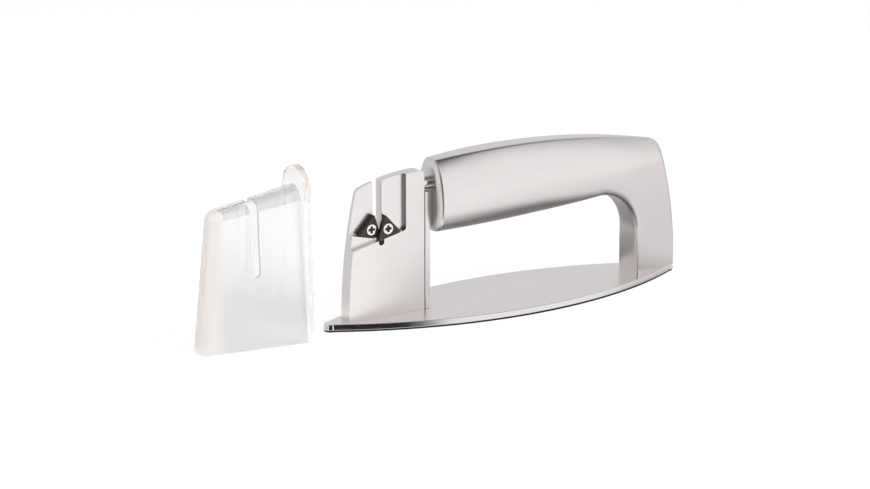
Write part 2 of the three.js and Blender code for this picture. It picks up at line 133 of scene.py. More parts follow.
# A skin over rings of points: a grid is rolled up, its seam is joined and its ends are filled
def skinRings(name, rings):
    dropAll()
    around = len(rings[0])
    along = len(rings) - 1
    bpy.ops.mesh.primitive_grid_add(x_subdivisions=along, y_subdivisions=around, size=1)
    piece = bpy.context.object
    piece.name = name
    for vertex in piece.data.vertices:
        ring = round((vertex.co.x + 0.5) * along)
        place = round((vertex.co.y + 0.5) * around) % around
        vertex.co = Vector(rings[ring][place]) * mm
    bpy.ops.object.mode_set(mode="EDIT")
    bpy.ops.mesh.select_all(action="SELECT")
    bpy.ops.mesh.remove_doubles(threshold=joining["seam"] * mm)
    bpy.ops.mesh.fill_holes(sides=0)
    bpy.ops.mesh.select_all(action="SELECT")
    bpy.ops.mesh.normals_make_consistent(inside=False)
    bpy.ops.object.mode_set(mode="OBJECT")
    return piece


# Finishes

def linear(hexColour):
    channels = [int(hexColour[i:i + 2], 16) / 255 for i in (0, 2, 4)]
    return [c / 12.92 if c <= 0.04045 else ((c + 0.055) / 1.055) ** 2.4 for c in channels] + [1]


def startMaterial(name):
    material = bpy.data.materials.new(name)
    material.use_nodes = True
    return material, material.node_tree, material.node_tree.nodes["Principled BSDF"]


# Adds one node: settings are its own properties, inputs are values or sockets to link from
def addNode(tree, kind, settings=None, inputs=None):
    node = tree.nodes.new(kind)
    for key, value in (settings or {}).items():
        setattr(node, key, value)
    for key, value in (inputs or {}).items():
        if isinstance(value, bpy.types.NodeSocket):
            tree.links.new(value, node.inputs[key])
        else:
            node.inputs[key].default_value = value
    return node


# Stainless steel, satin ground: soft even reflections and faint grinding lines along the part.
# The lines are 0.05 mm apart on the real one and are drawn at 0.5 mm, so that they show.
satin = {"light": "ebe6e5", "dark": "e2dddc", "lineWidth": 0.5, "lineLength": 40, "lineDepth": 0.0008,
         "lineStrength": 0.15, "cloud": 25}


def satinSteel(name, alongAxis, roughness):
    material, tree, shader = startMaterial(name)
    shader.inputs["Metallic"].default_value = 1
    scale = [1 / (satin["lineWidth"] * mm)] * 3
    scale[alongAxis] = 1 / (satin["lineLength"] * mm)
    place = addNode(tree, "ShaderNodeTexCoord")
    lines = addNode(tree, "ShaderNodeMapping", None, {"Vector": place.outputs["Object"], "Scale": scale})
    grain = addNode(tree, "ShaderNodeTexNoise", None, {"Vector": lines.outputs[0], "Scale": 1, "Detail": 3})
    cloud = addNode(tree, "ShaderNodeTexNoise", None,
                    {"Vector": place.outputs["Object"], "Scale": 1 / (satin["cloud"] * mm), "Detail": 2})
    colour = addNode(tree, "ShaderNodeMix", {"data_type": "RGBA"}, {"Factor": grain.outputs["Fac"]})
    colour.inputs[6].default_value = linear(satin["dark"])
    colour.inputs[7].default_value = linear(satin["light"])
    dull = addNode(tree, "ShaderNodeMapRange", None,
                   {"Value": cloud.outputs["Fac"], "From Min": 0.3, "From Max": 0.7,
                    "To Min": roughness[0], "To Max": roughness[1]})
    bump = addNode(tree, "ShaderNodeBump", None,
                   {"Height": grain.outputs["Fac"], "Strength": satin["lineStrength"],
                    "Distance": satin["lineDepth"] * mm})
    tree.links.new(colour.outputs[2], shader.inputs["Base Color"])
    tree.links.new(dull.outputs[0], shader.inputs["Roughness"])
    tree.links.new(bump.outputs[0], shader.inputs["Normal"])
    return material


# Stainless steel, polished: clear reflections with a few fine wipe marks in the gloss
def polishedSteel(name, gloss):
    polish = {"tint": "e2e0de", "roughness": gloss, "markSize": 4}
    material, tree, shader = startMaterial(name)
    shader.inputs["Metallic"].default_value = 1
    shader.inputs["Base Color"].default_value = linear(polish["tint"])
    place = addNode(tree, "ShaderNodeTexCoord")
    marks = addNode(tree, "ShaderNodeTexNoise", None,
                    {"Vector": place.outputs["Object"], "Scale": 1 / (polish["markSize"] * mm), "Detail": 4})
    dull = addNode(tree, "ShaderNodeMapRange", None,
                   {"Value": marks.outputs["Fac"], "From Min": 0.35, "From Max": 0.65,
                    "To Min": polish["roughness"][0], "To Max": polish["roughness"][1]})
    tree.links.new(dull.outputs[0], shader.inputs["Roughness"])
    return material


# Sheet rubber, calendered: black, dull, with a fine leathery grain
def blackRubber(name):
    rubber = {"tint": "171717", "worn": "242423", "roughness": 0.82, "grain": 0.6, "depth": 0.04}
    material, tree, shader = startMaterial(name)
    shader.inputs["Roughness"].default_value = rubber["roughness"]
    shader.inputs["IOR"].default_value = 1.52
    place = addNode(tree, "ShaderNodeTexCoord")
    grain = addNode(tree, "ShaderNodeTexNoise", None,
                    {"Vector": place.outputs["Object"], "Scale": 1 / (rubber["grain"] * mm), "Detail": 3})
    colour = addNode(tree, "ShaderNodeMix", {"data_type": "RGBA"}, {"Factor": grain.outputs["Fac"]})
    colour.inputs[6].default_value = linear(rubber["tint"])
    colour.inputs[7].default_value = linear(rubber["worn"])
    bump = addNode(tree, "ShaderNodeBump", None,
                   {"Height": grain.outputs["Fac"], "Strength": 0.4, "Distance": rubber["depth"] * mm})
    tree.links.new(colour.outputs[2], shader.inputs["Base Color"])
    tree.links.new(bump.outputs[0], shader.inputs["Normal"])
    return material


# Tungsten carbide, sintered and ground: dark grey with a faint metallic grain
def groundCarbide(name):
    carbide = {"dark": "2e2b2a", "light": "443f3d", "roughness": (0.3, 0.48), "grain": 0.35, "depth": 0.004}
    material, tree, shader = startMaterial(name)
    shader.inputs["Metallic"].default_value = 0.4
    place = addNode(tree, "ShaderNodeTexCoord")
    grain = addNode(tree, "ShaderNodeTexNoise", None,
                    {"Vector": place.outputs["Object"], "Scale": 1 / (carbide["grain"] * mm), "Detail": 4})
    colour = addNode(tree, "ShaderNodeMix", {"data_type": "RGBA"}, {"Factor": grain.outputs["Fac"]})
    colour.inputs[6].default_value = linear(carbide["dark"])
    colour.inputs[7].default_value = linear(carbide["light"])
    dull = addNode(tree, "ShaderNodeMapRange", None,
                   {"Value": grain.outputs["Fac"], "To Min": carbide["roughness"][0],
                    "To Max": carbide["roughness"][1]})
    bump = addNode(tree, "ShaderNodeBump", None,
                   {"Height": grain.outputs["Fac"], "Strength": 0.3, "Distance": carbide["depth"] * mm})
    tree.links.new(colour.outputs[2], shader.inputs["Base Color"])
    tree.links.new(dull.outputs[0], shader.inputs["Roughness"])
    tree.links.new(bump.outputs[0], shader.inputs["Normal"])
    return material


# Nickel plate on the screws: bright and faintly warm
def nickelPlate(name):
    nickel = {"tint": "efebe4", "roughness": (0.1, 0.22), "markSize": 1.2}
    material, tree, shader = startMaterial(name)
    shader.inputs["Metallic"].default_value = 1
    shader.inputs["Base Color"].default_value = linear(nickel["tint"])
    place = addNode(tree, "ShaderNodeTexCoord")
    marks = addNode(tree, "ShaderNodeTexNoise", None,
                    {"Vector": place.outputs["Object"], "Scale": 1 / (nickel["markSize"] * mm), "Detail": 3})
    dull = addNode(tree, "ShaderNodeMapRange", None,
                   {"Value": marks.outputs["Fac"], "To Min": nickel["roughness"][0],
                    "To Max": nickel["roughness"][1]})
    tree.links.new(dull.outputs[0], shader.inputs["Roughness"])
    return material


# Painted dark for recesses: dark brown, with a dull gleam. On the screws it is painted shade in the cross
# recesses and round the heads; on the plate it darkens the slot's round floor and the step's corner
def recessDarkPaint(name):
    darkPaint = {"dark": "352f2a", "light": "665d54", "roughness": 0.45, "patch": 0.5}
    material, tree, shader = startMaterial(name)
    shader.inputs["Metallic"].default_value = 0.7
    shader.inputs["Roughness"].default_value = darkPaint["roughness"]
    place = addNode(tree, "ShaderNodeTexCoord")
    patches = addNode(tree, "ShaderNodeTexNoise", None,
                      {"Vector": place.outputs["Object"], "Scale": 1 / (darkPaint["patch"] * mm), "Detail": 2})
    colour = addNode(tree, "ShaderNodeMix", {"data_type": "RGBA"}, {"Factor": patches.outputs["Fac"]})
    colour.inputs[6].default_value = linear(darkPaint["dark"])
    colour.inputs[7].default_value = linear(darkPaint["light"])
    tree.links.new(colour.outputs[2], shader.inputs["Base Color"])
    return material


# Polycarbonate, moulded: clear with a slight haze, and a tint that differs from wall to wall: amber at the
# cut edges, painted shade and a painted dark reflection on the front walls
def clearPolycarbonate(name, tint, through):
    clear = {"roughness": (0.06, 0.11), "flow": 18, "alpha": 0.85, "ior": 1.5}
    material, tree, shader = startMaterial(name)
    shader.inputs["Base Color"].default_value = linear(tint)
    shader.inputs["Transmission Weight"].default_value = through
    shader.inputs["Alpha"].default_value = clear["alpha"]
    shader.inputs["IOR"].default_value = clear["ior"]
    place = addNode(tree, "ShaderNodeTexCoord")
    flow = addNode(tree, "ShaderNodeTexNoise", None,
                   {"Vector": place.outputs["Object"], "Scale": 1 / (clear["flow"] * mm), "Detail": 3})
    dull = addNode(tree, "ShaderNodeMapRange", None,
                   {"Value": flow.outputs["Fac"], "From Min": 0.3, "From Max": 0.7,
                    "To Min": clear["roughness"][0], "To Max": clear["roughness"][1]})
    tree.links.new(dull.outputs[0], shader.inputs["Roughness"])
    return material


# The same on the front wall, hazier, with painted shade in its tint: grey low down, lighter higher up
# and cream at the round left end. It stands in for the light that the cover's inner walls throw on each
# other.
def hazyPaintedShadePolycarbonate(name):
    wallShade = {"low": "dad9d9", "high": "f7f6f6", "cream": "f4ebe5", "heights": (8, 52),
            "ends": (-161, -150), "through": 0.6}
    material = clearPolycarbonate(name, "ffffff", wallShade["through"])
    tree = material.node_tree
    place = addNode(tree, "ShaderNodeTexCoord")
    axes = addNode(tree, "ShaderNodeSeparateXYZ", None, {0: place.outputs["Object"]})
    rising = addNode(tree, "ShaderNodeMapRange", {"interpolation_type": "SMOOTHSTEP"},
                     {"Value": axes.outputs["Z"], "From Min": wallShade["heights"][0] * mm,
                      "From Max": wallShade["heights"][1] * mm})
    inwards = addNode(tree, "ShaderNodeMapRange", {"interpolation_type": "SMOOTHSTEP"},
                      {"Value": axes.outputs["X"], "From Min": wallShade["ends"][0] * mm,
                       "From Max": wallShade["ends"][1] * mm})
    grey = addNode(tree, "ShaderNodeMix", {"data_type": "RGBA"}, {"Factor": rising.outputs[0]})
    grey.inputs[6].default_value = linear(wallShade["low"])
    grey.inputs[7].default_value = linear(wallShade["high"])
    colour = addNode(tree, "ShaderNodeMix", {"data_type": "RGBA"}, {"Factor": inwards.outputs[0]})
    colour.inputs[6].default_value = linear(wallShade["cream"])
    tree.links.new(grey.outputs[2], colour.inputs[7])
    tree.links.new(colour.outputs[2], tree.nodes["Principled BSDF"].inputs["Base Color"])
    return material


steelAlong = satinSteel("satinStainlessAlong", 0, (0.27, 0.31))
steelBase = satinSteel("satinStainlessBase", 0, (0.23, 0.27))
steelUpright = satinSteel("satinStainlessUpright", 2, (0.24, 0.28))
steelBright = polishedSteel("polishedStainless", (0.07, 0.15))
steelBuffed = polishedSteel("buffedStainless", (0.33, 0.39))
rubberSheet = blackRubber("calenderedRubber")
carbideGround = groundCarbide("groundTungstenCarbide")
screwNickel = nickelPlate("nickelPlate")
# Painted dark: shade on the screw heads, and the dark of the plate's slot floor and step corner
paintedRecessDark = recessDarkPaint("paintedRecessDark")
coverClear = clearPolycarbonate("clearPolycarbonate", "fefefe", 0.93)
coverHazyPaintedShade = hazyPaintedShadePolycarbonate("hazyPaintedShadePolycarbonate")
# A darker grey tint: a painted dark reflection on the arch's shoulder
coverShoulderReflection = clearPolycarbonate("paintedReflectionPolycarbonate", "d5d3d2", 0.8)
coverAmber = clearPolycarbonate("amberPolycarbonate", "fbeadb", 0.75)
print("finishes ready")


# Handle: sections along the grip, then a fan of sections round the inner fillet and flat ones down the leg

handle = {
    "left": -41.8, "right": 99.7, "foot": 3.6, "crestX": 4.2, "crestZ": 77.0, "topRadius": 430,
    "underZ": 40.04, "underRadius": 860, "fillet": 20, "filletX": 51.5, "legLean": 0.8, "backRadius": 188,
    "topCorner": 6, "tip": 3.5, "belly": 0.36, "crestRound": 0.9,
    "width": ([0, 0.38, 0.7, 0.81, 1], [11.3, 10.9, 9.3, 8.0, 3.4]),
    "crest": ([0, 0.16, 0.4, 0.68, 0.9, 1], [4.2, 5.3, 5.0, 3.5, 0.7, 0.5]),
    "square": ([0, 0.4, 0.68, 1], [2.6, 2.6, 3.6, 3.6]),
    "gripRings": 44, "fanRings": 48, "legRings": 10, "fanSquare": 8, "footSquare": 14, "tipMargin": 0.004,
    "legReach": 90, "fineSteps": 80, "bowSteps": 16, "flatPoints": (6, 0.5), "sidePoints": (40, 4),
    "floorPoints": (14, 2),
}
handleLength = handle["right"] - handle["left"]


# A smooth curve through the stations, with straight ends
def smoothThrough(stations, values, t):
    k = 1
    while k < len(stations) - 1 and t > stations[k]:
        k += 1
    t0, t1 = stations[k - 1], stations[k]
    first, last = k == 1, k == len(stations) - 1
    before = values[k] if first else values[k - 2]
    after = values[k - 1] if last else values[k + 1]
    pull = -0.5 if first else (t1 - t0) / 2 / (t0 - stations[k - 2])
    push = -0.5 if last else (t1 - t0) / 2 / (stations[k + 1] - t1)
    p = (t - t0) / (t1 - t0)
    a = -pull * p ** 3 + 2 * pull * p ** 2 - pull * p
    b = (1 + pull) * p ** 3 + (-1.5 - 2 * pull) * p ** 2 + (-0.5 + pull) * p + 1
    c = (-1 - push) * p ** 3 + (1.5 + push) * p ** 2 + 0.5 * p
    d = push * p ** 3 - push * p ** 2
    return a * before + b * values[k - 1] + c * values[k] + d * after


def straightThrough(stations, values, t):
    k = 1
    while k < len(stations) - 1 and t > stations[k]:
        k += 1
    p = (t - stations[k - 1]) / (stations[k] - stations[k - 1])
    return values[k - 1] + p * (values[k] - values[k - 1])


def alongHandle(x):
    return min(max((x - handle["left"]) / handleLength, 0), 1)


def gripTopAt(x):
    return handle["crestZ"] - handle["topRadius"] + math.sqrt(
        handle["topRadius"] ** 2 - (x - handle["crestX"]) ** 2)


def gripUnderAt(x):
    return handle["underZ"] + handle["underRadius"] - math.sqrt(
        handle["underRadius"] ** 2 - (x - handle["left"]) ** 2)


def leanAt(z):
    return handle["backRadius"] - math.sqrt(handle["backRadius"] ** 2 - max(z - handle["foot"], 0) ** 2)


def halfWidthAt(x):
    wide = smoothThrough(*handle["width"], alongHandle(x))
    into = min(max(x - handle["right"] + handle["tip"], 0), handle["tip"])
    return min(wide, math.sqrt(handle["tip"] ** 2 - into ** 2)) if into > 0 else wide


# Top, belly height and half width at any height, for the section that starts at x
def sectionAt(x, leaning, inward=0):
    top = gripTopAt(x - leaning * leanAt(gripTopAt(x)))
    under = gripUnderAt(x)
    half = halfWidthAt(x)
    belly = under + handle["belly"] * (top - under)
    crest = math.acos(min(smoothThrough(*handle["crest"], alongHandle(x)) / max(half, 1e-6), 0.9))
    rise = (top - belly - inward) / math.sin(crest)

    def widthAt(z):
        turn = min(max((z - belly) / rise, 0), 1)
        return (half - inward) * math.sqrt(1 - turn ** 2)

    return top - inward, belly, under + inward, widthAt


# Moves points so that they are spread by distance, and closer where the line turns
def spread(line, count, turnWeight):
    reach = [0]
    for i in range(1, len(line)):
        step = math.dist(line[i], line[i - 1])
        bend = 0
        if 1 < i and step > 1e-9 and math.dist(line[i - 1], line[i - 2]) > 1e-9:
            one = math.atan2(line[i][1] - line[i - 1][1], line[i][0] - line[i - 1][0])
            two = math.atan2(line[i - 1][1] - line[i - 2][1], line[i - 1][0] - line[i - 2][0])
            bend = abs(math.remainder(one - two, 2 * math.pi))
        reach.append(reach[-1] + step + turnWeight * bend)
    points = []
    k = 1
    for i in range(count + 1):
        goal = reach[-1] * i / count
        while k < len(reach) - 1 and reach[k] < goal:
            k += 1
        part = (goal - reach[k - 1]) / max(reach[k] - reach[k - 1], 1e-12)
        part = min(max(part, 0), 1)
        points.append([line[k - 1][j] + part * (line[k][j] - line[k - 1][j]) for j in (0, 1)])
    return points


# One side of a section from the middle of its top to the middle of its underside, as height and width
def halfRing(low, belly, top, widthAt, square):
    fine = handle["fineSteps"]
    edge = widthAt(top)
    heights = [belly + (top - belly) * math.sin(math.pi / 2 * (1 - i / fine)) for i in range(fine + 1)]
    side = [(r, widthAt(r)) for r in heights]
    power = 2 / square
    corner = []
    floor = []
    for i in range(1, 2 * fine + 1):
        u = math.pi / 2 * i / (2 * fine)
        r = belly - (belly - low) * math.sin(u) ** power
        (corner if i <= fine else floor).append((r, widthAt(r) * max(math.cos(u), 0) ** power))
    side += corner
    floor.insert(0, corner[-1])
    # The crest's edge is rounded between a point on the flat and a point on the side
    back = min(handle["crestRound"], 0.6 * edge)
    gone = 0
    k = 0
    while k < len(side) - 2 and gone + math.dist(side[k], side[k + 1]) < back:
        gone += math.dist(side[k], side[k + 1])
        k += 1
    begin = (top, edge - back)
    middle = side[0]
    end = side[k + 1]
    bow = []
    steps = handle["bowSteps"]
    for i in range(steps + 1):
        s = i / steps
        bow.append([(1 - s) ** 2 * begin[j] + 2 * s * (1 - s) * middle[j] + s ** 2 * end[j] for j in (0, 1)])
    flat = [(top, 0)] + bow[:steps // 2 + 1]
    side = bow[steps // 2:] + side[k + 2:]
    crown = spread(flat, *handle["flatPoints"])[:-1] + spread(side, *handle["sidePoints"])[:-1]
    return crown + spread(floor, *handle["floorPoints"])


def wholeRing(half, place):
    near = [place(r, y) for r, y in half]
    far = [place(r, -y) for r, y in half[1:-1]]
    return near + far[::-1]


def gripRing(x, inward=0, at=None):
    top, belly, under, widthAt = sectionAt(x, 0, inward)
    square = straightThrough(*handle["square"], alongHandle(x))
    stand = x if at is None else at
    return wholeRing(halfRing(under, belly, top, widthAt, square), lambda r, y: (stand, y, r))


# Side view of the leg: its back leans, and its top corner is cut by a curve
legRun = handle["right"] - handle["filletX"]
cornerX = handle["right"]
for _ in range(12):
    cornerX = handle["right"] - leanAt(gripTopAt(cornerX))
cornerZ = gripTopAt(cornerX)
cornerBack = (handle["right"] - leanAt(cornerZ - handle["topCorner"]), cornerZ - handle["topCorner"])
cornerTop = (cornerX - handle["topCorner"], gripTopAt(cornerX - handle["topCorner"]))


def stationOf(x, z):
    lean = leanAt(z) / legRun
    return (x - lean * handle["filletX"]) / (1 - lean)


def insideCorner(x, z):
    (ax, az), (dx, dz) = cornerBack, cornerTop
    bx, bz = cornerX, cornerZ
    whole = (bz - dz) * (ax - dx) + (dx - bx) * (az - dz)
    u = ((bz - dz) * (x - dx) + (dx - bx) * (z - dz)) / whole
    v = ((dz - az) * (x - dx) + (ax - dx) * (z - dz)) / whole
    w = 1 - u - v
    return v <= 0 or (u >= 0 and w >= 0 and v * v <= 4 * u * w)


def legWidth(x, z):
    start = stationOf(x, z)
    leaning = (start - handle["filletX"]) / legRun
    top, _, _, widthAt = sectionAt(min(start, handle["right"] - handle["tipMargin"]), leaning)
    return widthAt(min(z, top))


def insideLeg(x, z):
    start = stationOf(x, z)
    if start > handle["right"] - handle["tipMargin"]:
        return False
    leaning = (start - handle["filletX"]) / legRun
    return z <= sectionAt(start, leaning)[0] and insideCorner(x, z)


# A section from a point on the inside of the leg, outwards in the direction of the turn
def legRing(insideX, insideZ, turn, square):
    out = (math.sin(turn), math.cos(turn))
    near, far = 0, handle["legReach"]
    for _ in range(40):
        half = (near + far) / 2
        if insideLeg(insideX + half * out[0], insideZ + half * out[1]):
            near = half
        else:
            far = half
    belly = handle["belly"] * near
    line = halfRing(0, belly, near, lambda r: legWidth(insideX + r * out[0], insideZ + r * out[1]), square)
    return wholeRing(line, lambda r, y: (insideX + r * out[0], y, insideZ + r * out[1]))


def makeHandle():
    rings = []
    for i in range(handle["gripRings"]):
        x = handle["left"] + (handle["filletX"] - handle["left"]) * i / handle["gripRings"]
        rings.append(gripRing(x))
    centreZ = gripUnderAt(handle["filletX"]) - handle["fillet"]
    squareStart = straightThrough(*handle["square"], alongHandle(handle["filletX"]))
    for i in range(handle["fanRings"] + 1):
        share = i / handle["fanRings"]
        turn = share * math.pi / 2
        x = handle["filletX"] + handle["fillet"] * math.sin(turn)
        z = centreZ + handle["fillet"] * math.cos(turn)
        rings.append(legRing(x, z, turn, squareStart + share * (handle["fanSquare"] - squareStart)))
    for i in range(1, handle["legRings"] + 1):
        share = i / handle["legRings"]
        x = handle["filletX"] + handle["fillet"] + handle["legLean"] * share
        z = centreZ + share * (handle["foot"] - centreZ)
        square = handle["fanSquare"] + share * (handle["footSquare"] - handle["fanSquare"])
        rings.append(legRing(x, z, math.pi / 2, square))
    piece = skinRings("handleBody", rings)
    breakEdges(piece, 0)
    return piece


handleBody = makeHandle()
putOn(handleBody, "handle_body", "sharpener", "satin_steel", steelAlong)


# End cap: the grip's first section, with a broad rim that slopes in to the face
endCap = {"rim": ([0, 0.04, 0.12, 0.3, 0.5, 0.7, 0.86, 1], [0, 0.14, 0.34, 0.56, 0.77, 0.92, 0.985, 1]),
          "rimWide": 4.0, "rimDeep": 2.0, "rimRings": 28, "crowding": 1.6}


def makeEndCap():
    rings = []
    for i in range(endCap["rimRings"] + 1):
        share = (i / endCap["rimRings"]) ** endCap["crowding"]
        deep = endCap["rimDeep"] * smoothThrough(*endCap["rim"], share)
        rings.append(gripRing(handle["left"], endCap["rimWide"] * share, handle["left"] - deep))
    piece = skinRings("handleEndCap", rings)
    breakEdges(piece, 0)
    return piece


putOn(makeEndCap(), "handle_end_cap", "sharpener", "polished_steel", steelBuffed)


# Base: a round plate is drawn out to the boat outline, thickened and its rims broken
base = {"length": 199.6, "width": 56.8, "tip": 3.6, "bottom": 1.0, "top": 3.6, "arcPoints": 96,
        "tipPoints": 24, "lean": 0.6, "edge": 0.2, "edgeSteps": 3, "sharperThan": 60, "sideTilt": 0.6}


def boatOutline(inset):
    tip = base["tip"] - inset
    reach = base["length"] / 2 - inset - tip
    rise = base["width"] / 2 - inset - tip
    radius = (reach ** 2 + rise ** 2) / (2 * rise)
    centre = radius - rise - tip
    sweep = math.asin(reach / radius)
    points = []
    for side in (1, -1):
        for i in range(base["arcPoints"]):
            turn = -sweep + 2 * sweep * i / base["arcPoints"]
            points.append((side * -radius * math.sin(turn), side * (radius * math.cos(turn) - centre)))
        for i in range(base["tipPoints"]):
            turn = math.pi * i / base["tipPoints"]
            points.append((side * (-reach - tip * math.sin(turn)), side * tip * math.cos(turn)))
    return points


def makeBase():
    outline = boatOutline(0)
    dropAll()
    bpy.ops.mesh.primitive_circle_add(vertices=len(outline), radius=0.1, fill_type="NGON")
    piece = bpy.context.object
    piece.name = "basePlate"
    for vertex, (x, y) in zip(piece.data.vertices, outline):
        vertex.co = Vector((x, y, base["bottom"])) * mm
    bpy.ops.object.mode_set(mode="EDIT")
    bpy.ops.mesh.select_all(action="SELECT")
    thick = (base["top"] - base["bottom"]) * mm
    bpy.ops.mesh.extrude_region_move(TRANSFORM_OT_translate={"value": (0, 0, thick)})
    bpy.ops.mesh.select_all(action="SELECT")
    bpy.ops.mesh.normals_make_consistent(inside=False)
    bpy.ops.object.mode_set(mode="OBJECT")
    # The ground side leans in a little from the bottom to the top
    middle = (base["bottom"] + base["top"]) / 2 * mm
    pairs = list(zip(outline, boatOutline(base["lean"])))
    for vertex in [vertex for vertex in piece.data.vertices if vertex.co.z > middle]:
        here = (vertex.co.x / mm, vertex.co.y / mm)
        x, y = min(pairs, key=lambda pair: math.dist(pair[0], here))[1]
        vertex.co.x, vertex.co.y = x * mm, y * mm
    breakEdges(piece, base["edge"], base["edgeSteps"], base["sharperThan"])
    return piece


basePlate = makeBase()
putOn(basePlate, "base_plate", "sharpener", "satin_steel", steelBase)
coat(basePlate, steelBright, lambda face: abs(face.normal.z) < base["sideTilt"])  # the ground rim shines


# Flat and turned pieces keep the shape of their solids and get broken edges
smallPieces = [
    ("sharpening_plate", "sharpeningPlate", 0.25, steelAlong, "satin_steel"),
    ("handle_post", "handlePost", 0.3, steelUpright, "polished_steel"),
    ("handle_bush", "handleBush", 0.2, steelBright, "polished_steel"),
    ("right_insert", "rightInsert", 0.1, carbideGround, "carbide"),
    ("left_insert", "leftInsert", 0.1, carbideGround, "carbide"),
    ("left_insert_shim", "leftInsertShim", 0.08, carbideGround, "carbide"),
    ("right_insert_screw", "rightInsertScrew", 0.26, screwNickel, "plated_screw"),
    ("left_insert_screw", "leftInsertScrew", 0.26, screwNickel, "plated_screw"),
    ("left_insert_nut", "leftInsertNut", 0.15, screwNickel, "plated_screw"),
]
for node, name, edge, finish, slot in smallPieces:
    smallPiece = joinedCopy(node, name)
    breakEdges(smallPiece, edge)
    putOn(smallPiece, node, "sharpener", slot, finish)

# The slot's round floor and the step's corner are painted dark, as they look on the real plate
plateDarkPlaces = {"slotX": -71.1, "slotHalf": 1.7, "slotUpTo": 41.0, "stepFrom": -62.0}


def plateDark(face):
    inSlot = abs(face.center.x - plateDarkPlaces["slotX"] * mm) < plateDarkPlaces["slotHalf"] * mm
    floorOfSlot = inSlot and face.center.z < plateDarkPlaces["slotUpTo"] * mm and abs(face.normal.y) < 0.3
    corner = face.normal.x < -0.25 and face.normal.z > 0.25 and abs(face.normal.y) < 0.3
    return floorOfSlot or (corner and face.center.x > plateDarkPlaces["stepFrom"] * mm)


coat(bpy.data.objects["sharpeningPlate"], paintedRecessDark, plateDark)

# Painted shade on a screw's head: its cross recess, and its outermost ring. The solid's head is larger than
# the bright face in the photograph, and the ring brings it down to about that size.
recess = {"behind": 0.03, "radius": 1.9, "deep": 1.3, "rim": 2.45}


def inRecess(node):
    low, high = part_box(node)
    axisX, axisZ = (low[0] + high[0]) / 2, (low[2] + high[2]) / 2

    def test(face):
        x, y, z = face.center
        out = Vector((x - axisX, 0, z - axisZ))
        if out.length > recess["rim"] * mm:
            return face.normal.dot(out) > 0.2 * out.length
        if not recess["behind"] < (y - low[1]) / mm < recess["deep"] or out.length > recess["radius"] * mm:
            return False
        return face.normal.y < -0.7 or face.normal.dot(out) < 0.3 * out.length

    return test


# Paints the shade into each screw's cross recess and outer ring
for node, name in (("right_insert_screw", "rightInsertScrew"), ("left_insert_screw", "leftInsertScrew")):
    coat(bpy.data.objects[name], paintedRecessDark, inRecess(node))

# Solids that stay as they are
plainSolids = {"non_slip_pad": rubberSheet, "handle_stud": steelBright,
               "plate_screw_left": screwNickel, "plate_screw_right": screwNickel,
               "leg_screw_left": screwNickel, "leg_screw_right": screwNickel}
for node, finish in plainSolids.items():
    nodes[node].data.materials.clear()
    nodes[node].data.materials.append(finish)


# Guard cover
cover = joinedCopy("guard_cover", "guardCover")
coverPlace = {"edge": 0.3, "x": -137.6, "y": 1.0, "leftUpTo": -152.0, "slotCut": 3.2, "tabLeft": -114.2,
              "amberFrom": 60.0}
breakEdges(cover, coverPlace["edge"])
putOn(cover, "guard_cover", "cover", "clear_plastic", coverClear)


def coverFront(face):
    front = face.normal.y < -0.6 and face.center.y < coverPlace["y"] * mm
    leftEnd = face.normal.x < -0.3 and face.center.x < coverPlace["leftUpTo"] * mm
    return (front or leftEnd) and face.center.x < coverPlace["tabLeft"] * mm


# The arch's front shoulder, below its crest; its darker tint is a painted dark reflection
def coverShoulder(face):
    outside = face.normal.y < -0.25 and face.center.y < coverPlace["y"] * mm
    between = coverPlace["leftUpTo"] * mm < face.center.x < coverPlace["tabLeft"] * mm
    return outside and between and 0.2 < face.normal.z < 0.93


def coverSlotCut(face):
    near = abs(face.center.x - coverPlace["x"] * mm) < coverPlace["slotCut"] * mm
    return near and abs(face.normal.x) > 0.8 and face.center.z > coverPlace["amberFrom"] * mm


def tabRim(face):
    high = face.center.z > coverPlace["amberFrom"] * mm
    return high and face.center.x > coverPlace["tabLeft"] * mm and abs(face.normal.x) < 0.5


# Painted shade on the front wall and the round left end
coat(cover, coverHazyPaintedShade, coverFront)
# Painted dark reflection on the arch's shoulder
coat(cover, coverShoulderReflection, coverShoulder)
coat(cover, coverAmber, lambda face: coverSlotCut(face) or tabRim(face))


# Floor, light and camera

studio = {
    "floor": 6.0, "floorTint": "f0f0f0", "floorRoughness": 0.9, "floorSpecular": 0.1, "ambient": 0.42,
    "bright": (0.5, -0.86, 0), "dark": (-0.525, -0.851, 0), "darkFrom": (-0.08, -0.045, 0),
    "shade": (0.035, -0.012, 0), "paperLevel": 1.04, "cameraShare": 0.88, "throughShare": 0.7,
    "mirroredShare": 0.92,
}

# How bright the floor and the room are in the metal, by distance, place or direction
ranges = {
    "pool": {"From Min": 0.025, "From Max": 0.095, "To Min": 0.1, "To Max": 1.0},
    "behind": {"From Min": -0.01, "From Max": 0.05, "To Min": 0.0, "To Max": 1.0},
    "byLeg": {"From Min": -0.1, "From Max": 0.02, "To Min": 0.38, "To Max": 0.5},
    "farOff": {"From Min": -0.26, "From Max": -0.13, "To Min": 1.08, "To Max": 0.75},
    "fallOff": {"From Min": -0.03, "From Max": 0.18, "To Min": 1.19},
    "roomSide": {"From Min": 0.8, "From Max": 0.92, "To Min": 1.0, "To Max": 0.03},
    "dome": {"From Min": 0.58, "From Max": 0.88, "To Min": 1.0, "To Max": 0.1},
    "keySide": {"From Min": 0.76, "From Max": 0.95, "To Min": 0.78, "To Max": 1.04},
    "darkSide": {"From Min": 0.78, "From Max": 0.92, "To Min": 1.0, "To Max": 0.03},
    "throughPlastic": {"From Min": 0.3, "From Max": 0.8, "To Min": 1.0, "To Max": 0.15},
}
smooth = {"interpolation_type": "SMOOTHSTEP"}
times = {"operation": "MULTIPLY"}
plusTimes = {"operation": "MULTIPLY_ADD"}
along = {"operation": "DOT_PRODUCT"}
